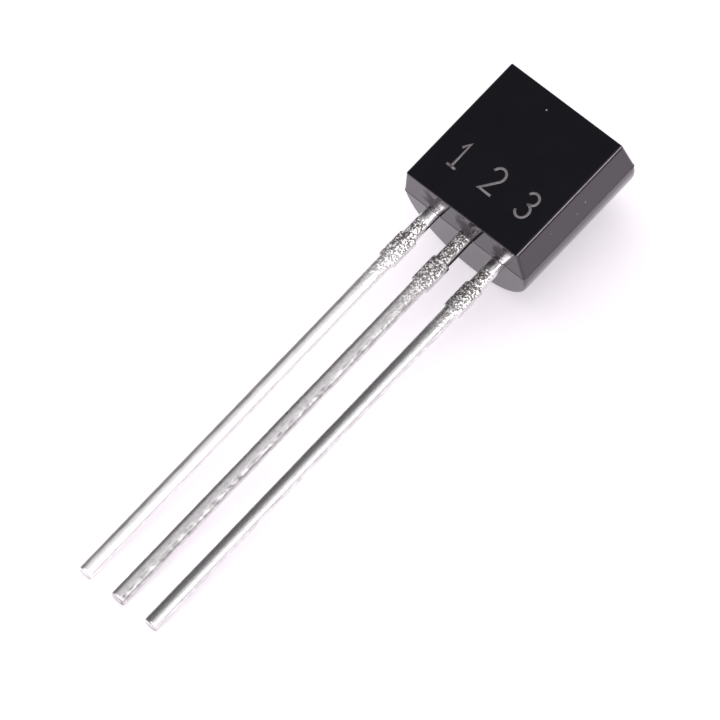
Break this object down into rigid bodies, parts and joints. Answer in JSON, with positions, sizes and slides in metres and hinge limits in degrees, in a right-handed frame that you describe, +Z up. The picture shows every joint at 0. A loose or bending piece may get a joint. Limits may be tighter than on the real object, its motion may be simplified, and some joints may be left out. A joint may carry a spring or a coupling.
{
  "type": "transistor",
  "caption": "Small transistor: a black moulded package with a flat face and a round back, on straight tinned leads in one row.",
  "frame": {"origin": "the middle of the bounding box's bottom, on the surface that the part lies on", "axes": "+Z up from that surface; -Y along the leads, from the package to their tips; +X across the flat face, towards the right-hand lead as seen on the flat with the leads towards the viewer. The flat faces up and leans 7.6 degrees towards the leads, because the part rests on the lower edge of its round back and on its lead tips."},
  "size_m": [0.0046, 0.0194, 0.004],
  "materials": {
    "moulding": "black filled epoxy moulding, fairly glossy",
    "tinned_lead": "matte to bright tin plating on a copper alloy",
    "die_attach": "silver-filled adhesive",
    "silicon": "polished silicon",
    "bond_wire": "drawn gold wire"
  },
  "bodies": {
    "root": {"body": "moulding", "collector_lead": "tinned_lead", "base_lead": "tinned_lead", "emitter_lead": "tinned_lead", "die_attach": "die_attach", "die": "silicon", "base_wire": "bond_wire", "emitter_wire": "bond_wire"}
  },
  "joints": []
}
